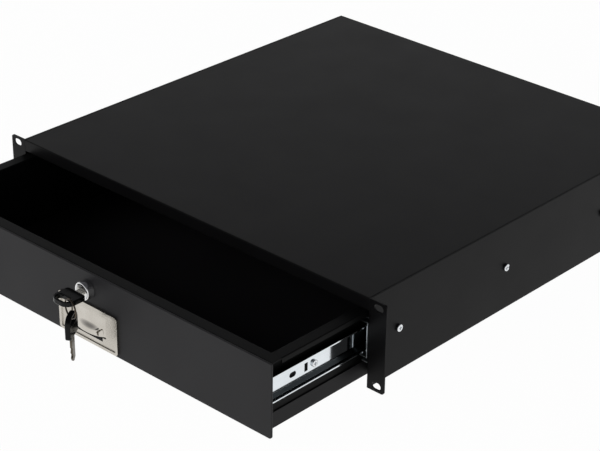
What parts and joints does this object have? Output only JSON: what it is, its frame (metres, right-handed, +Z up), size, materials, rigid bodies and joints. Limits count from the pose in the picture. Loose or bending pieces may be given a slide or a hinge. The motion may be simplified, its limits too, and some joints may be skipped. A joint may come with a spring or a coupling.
{
  "type": "lockable sliding rack drawer",
  "caption": "Lockable rack drawer: black powder-coated case with ears, a box on ball-bearing slides, a flush slam latch and a cam lock with its keys.",
  "frame": {"origin": "middle of the four rack-ear slots, on the front plane of the ears", "axes": "+X to the right seen from the front, +Y back into the rack, +Z up; the drawer opens along -Y"},
  "size_m": [0.4826, 0.6164, 0.0882],
  "materials": {
    "ball_steel": "polished bearing steel",
    "black_screw": "black oxide steel",
    "blade_nickel": "nickel-plated brass",
    "bolt_zinc": "zinc-plated steel",
    "box_powder": "fine satin black powder coat",
    "cage_zinc": "zinc-plated steel strip",
    "cam_screw_zinc": "zinc-plated steel",
    "cam_zinc": "zinc-plated steel",
    "chassis_powder": "fine satin black powder coat",
    "cover_powder": "fine satin black powder coat",
    "front_powder": "fine satin black powder coat",
    "housing_zinc": "zinc-plated steel",
    "key_plastic": "moulded gloss black plastic",
    "latch_nickel": "satin nickel plate",
    "lock_chrome": "chrome plate",
    "member_zinc": "bright zinc-plated steel",
    "nut_zinc": "zinc-plated steel",
    "paddle_nickel": "bright nickel plate",
    "pin_steel": "bright steel",
    "plug_chrome": "chrome plate",
    "ring_brass": "dull brassed wire",
    "side_powder": "fine satin black powder coat",
    "slide_zinc": "bright zinc-plated steel",
    "spring_steel": "spring steel wire",
    "zinc_screw": "zinc-plated steel"
  },
  "bodies": {
    "chassis": {"side_left": "side_powder", "side_right": "side_powder", "cover": "cover_powder", "bottom_pan": "chassis_powder", "rear_panel": "chassis_powder", "slide_outer_left": "slide_zinc", "slide_outer_right": "slide_zinc", "cabinet_screws": "black_screw"},
    "drawer": {"front_panel": "front_powder", "box_front": "box_powder", "box_side_left": "box_powder", "box_side_right": "box_powder", "box_bottom": "box_powder", "box_back": "box_powder", "slide_drawer_left": "member_zinc", "slide_drawer_right": "member_zinc", "drawer_screws": "zinc_screw", "latch_plate": "latch_nickel", "latch_housing": "housing_zinc", "latch_pin": "pin_steel", "latch_spring": "spring_steel", "lock_body": "lock_chrome", "lock_nut": "nut_zinc"},
    "middle_members": {"slide_middle_left": "slide_zinc", "slide_middle_right": "slide_zinc"},
    "inner_cages": {"inner_cage_left": "cage_zinc", "inner_cage_right": "cage_zinc", "inner_balls": "ball_steel"},
    "outer_cages": {"outer_cage_left": "cage_zinc", "outer_cage_right": "cage_zinc", "outer_balls": "ball_steel"},
    "paddle": {"latch_paddle": "paddle_nickel"},
    "bolt": {"latch_bolt": "bolt_zinc"},
    "lock_core": {"lock_plug": "plug_chrome", "lock_cam": "cam_zinc", "cam_screw": "cam_screw_zinc", "key_head": "key_plastic", "key_blade": "blade_nickel"},
    "ring": {"key_ring": "ring_brass"},
    "spare_key": {"spare_key_head": "key_plastic", "spare_key_blade": "blade_nickel"}
  },
  "joints": [
    {"name": "drawer_slide", "type": "slide", "parent": "chassis", "child": "drawer", "axis": [0, -1, 0], "range_m": [-0.1177, 0.282]},
    {"name": "middle_slide", "type": "slide", "parent": "chassis", "child": "middle_members", "axis": [0, -1, 0], "range_m": [-0.05885, 0.141]},
    {"name": "outer_cage_slide", "type": "slide", "parent": "chassis", "child": "outer_cages", "axis": [0, -1, 0], "range_m": [-0.02942, 0.0705]},
    {"name": "inner_cage_slide", "type": "slide", "parent": "chassis", "child": "inner_cages", "axis": [0, -1, 0], "range_m": [-0.08828, 0.2115]},
    {"name": "latch_pull", "type": "hinge", "parent": "drawer", "child": "paddle", "pos_m": [0, -0.102, -0.00905], "axis": [-1, 0, 0], "range_deg": [0, 12], "stiffness_Nm_per_rad": 0.15, "springref_deg": -17.19},
    {"name": "bolt_lift", "type": "slide", "parent": "drawer", "child": "bolt", "axis": [0, 0, 1], "range_m": [0, 0.00225], "stiffness_N_per_m": 1, "springref_m": 0.1414, "deforming": ["latch_spring"]},
    {"name": "lock_turn", "type": "hinge", "parent": "drawer", "child": "lock_core", "pos_m": [0, -0.1177, 0.01345], "axis": [0, 1, 0], "range_deg": [0, 90]},
    {"name": "ring_swing", "type": "hinge", "parent": "lock_core", "child": "ring", "pos_m": [0.0091, -0.1455, 0.01345], "axis": [0.2079, 0.9781, 0], "range_deg": [-30, 30]},
    {"name": "spare_key_swing", "type": "hinge", "parent": "ring", "child": "spare_key", "pos_m": [0.0091, -0.1455, -0.00045], "axis": [0.9781, -0.2079, 0], "range_deg": [-20, 20]}
  ],
  "couplings": [
    {"joint": "middle_slide", "follows": "drawer_slide", "ratio": 0.5},
    {"joint": "outer_cage_slide", "follows": "drawer_slide", "ratio": 0.25},
    {"joint": "inner_cage_slide", "follows": "drawer_slide", "ratio": 0.75},
    {"joint": "bolt_lift", "follows": "latch_pull", "m_per_rad": 0.01074}
  ]
}
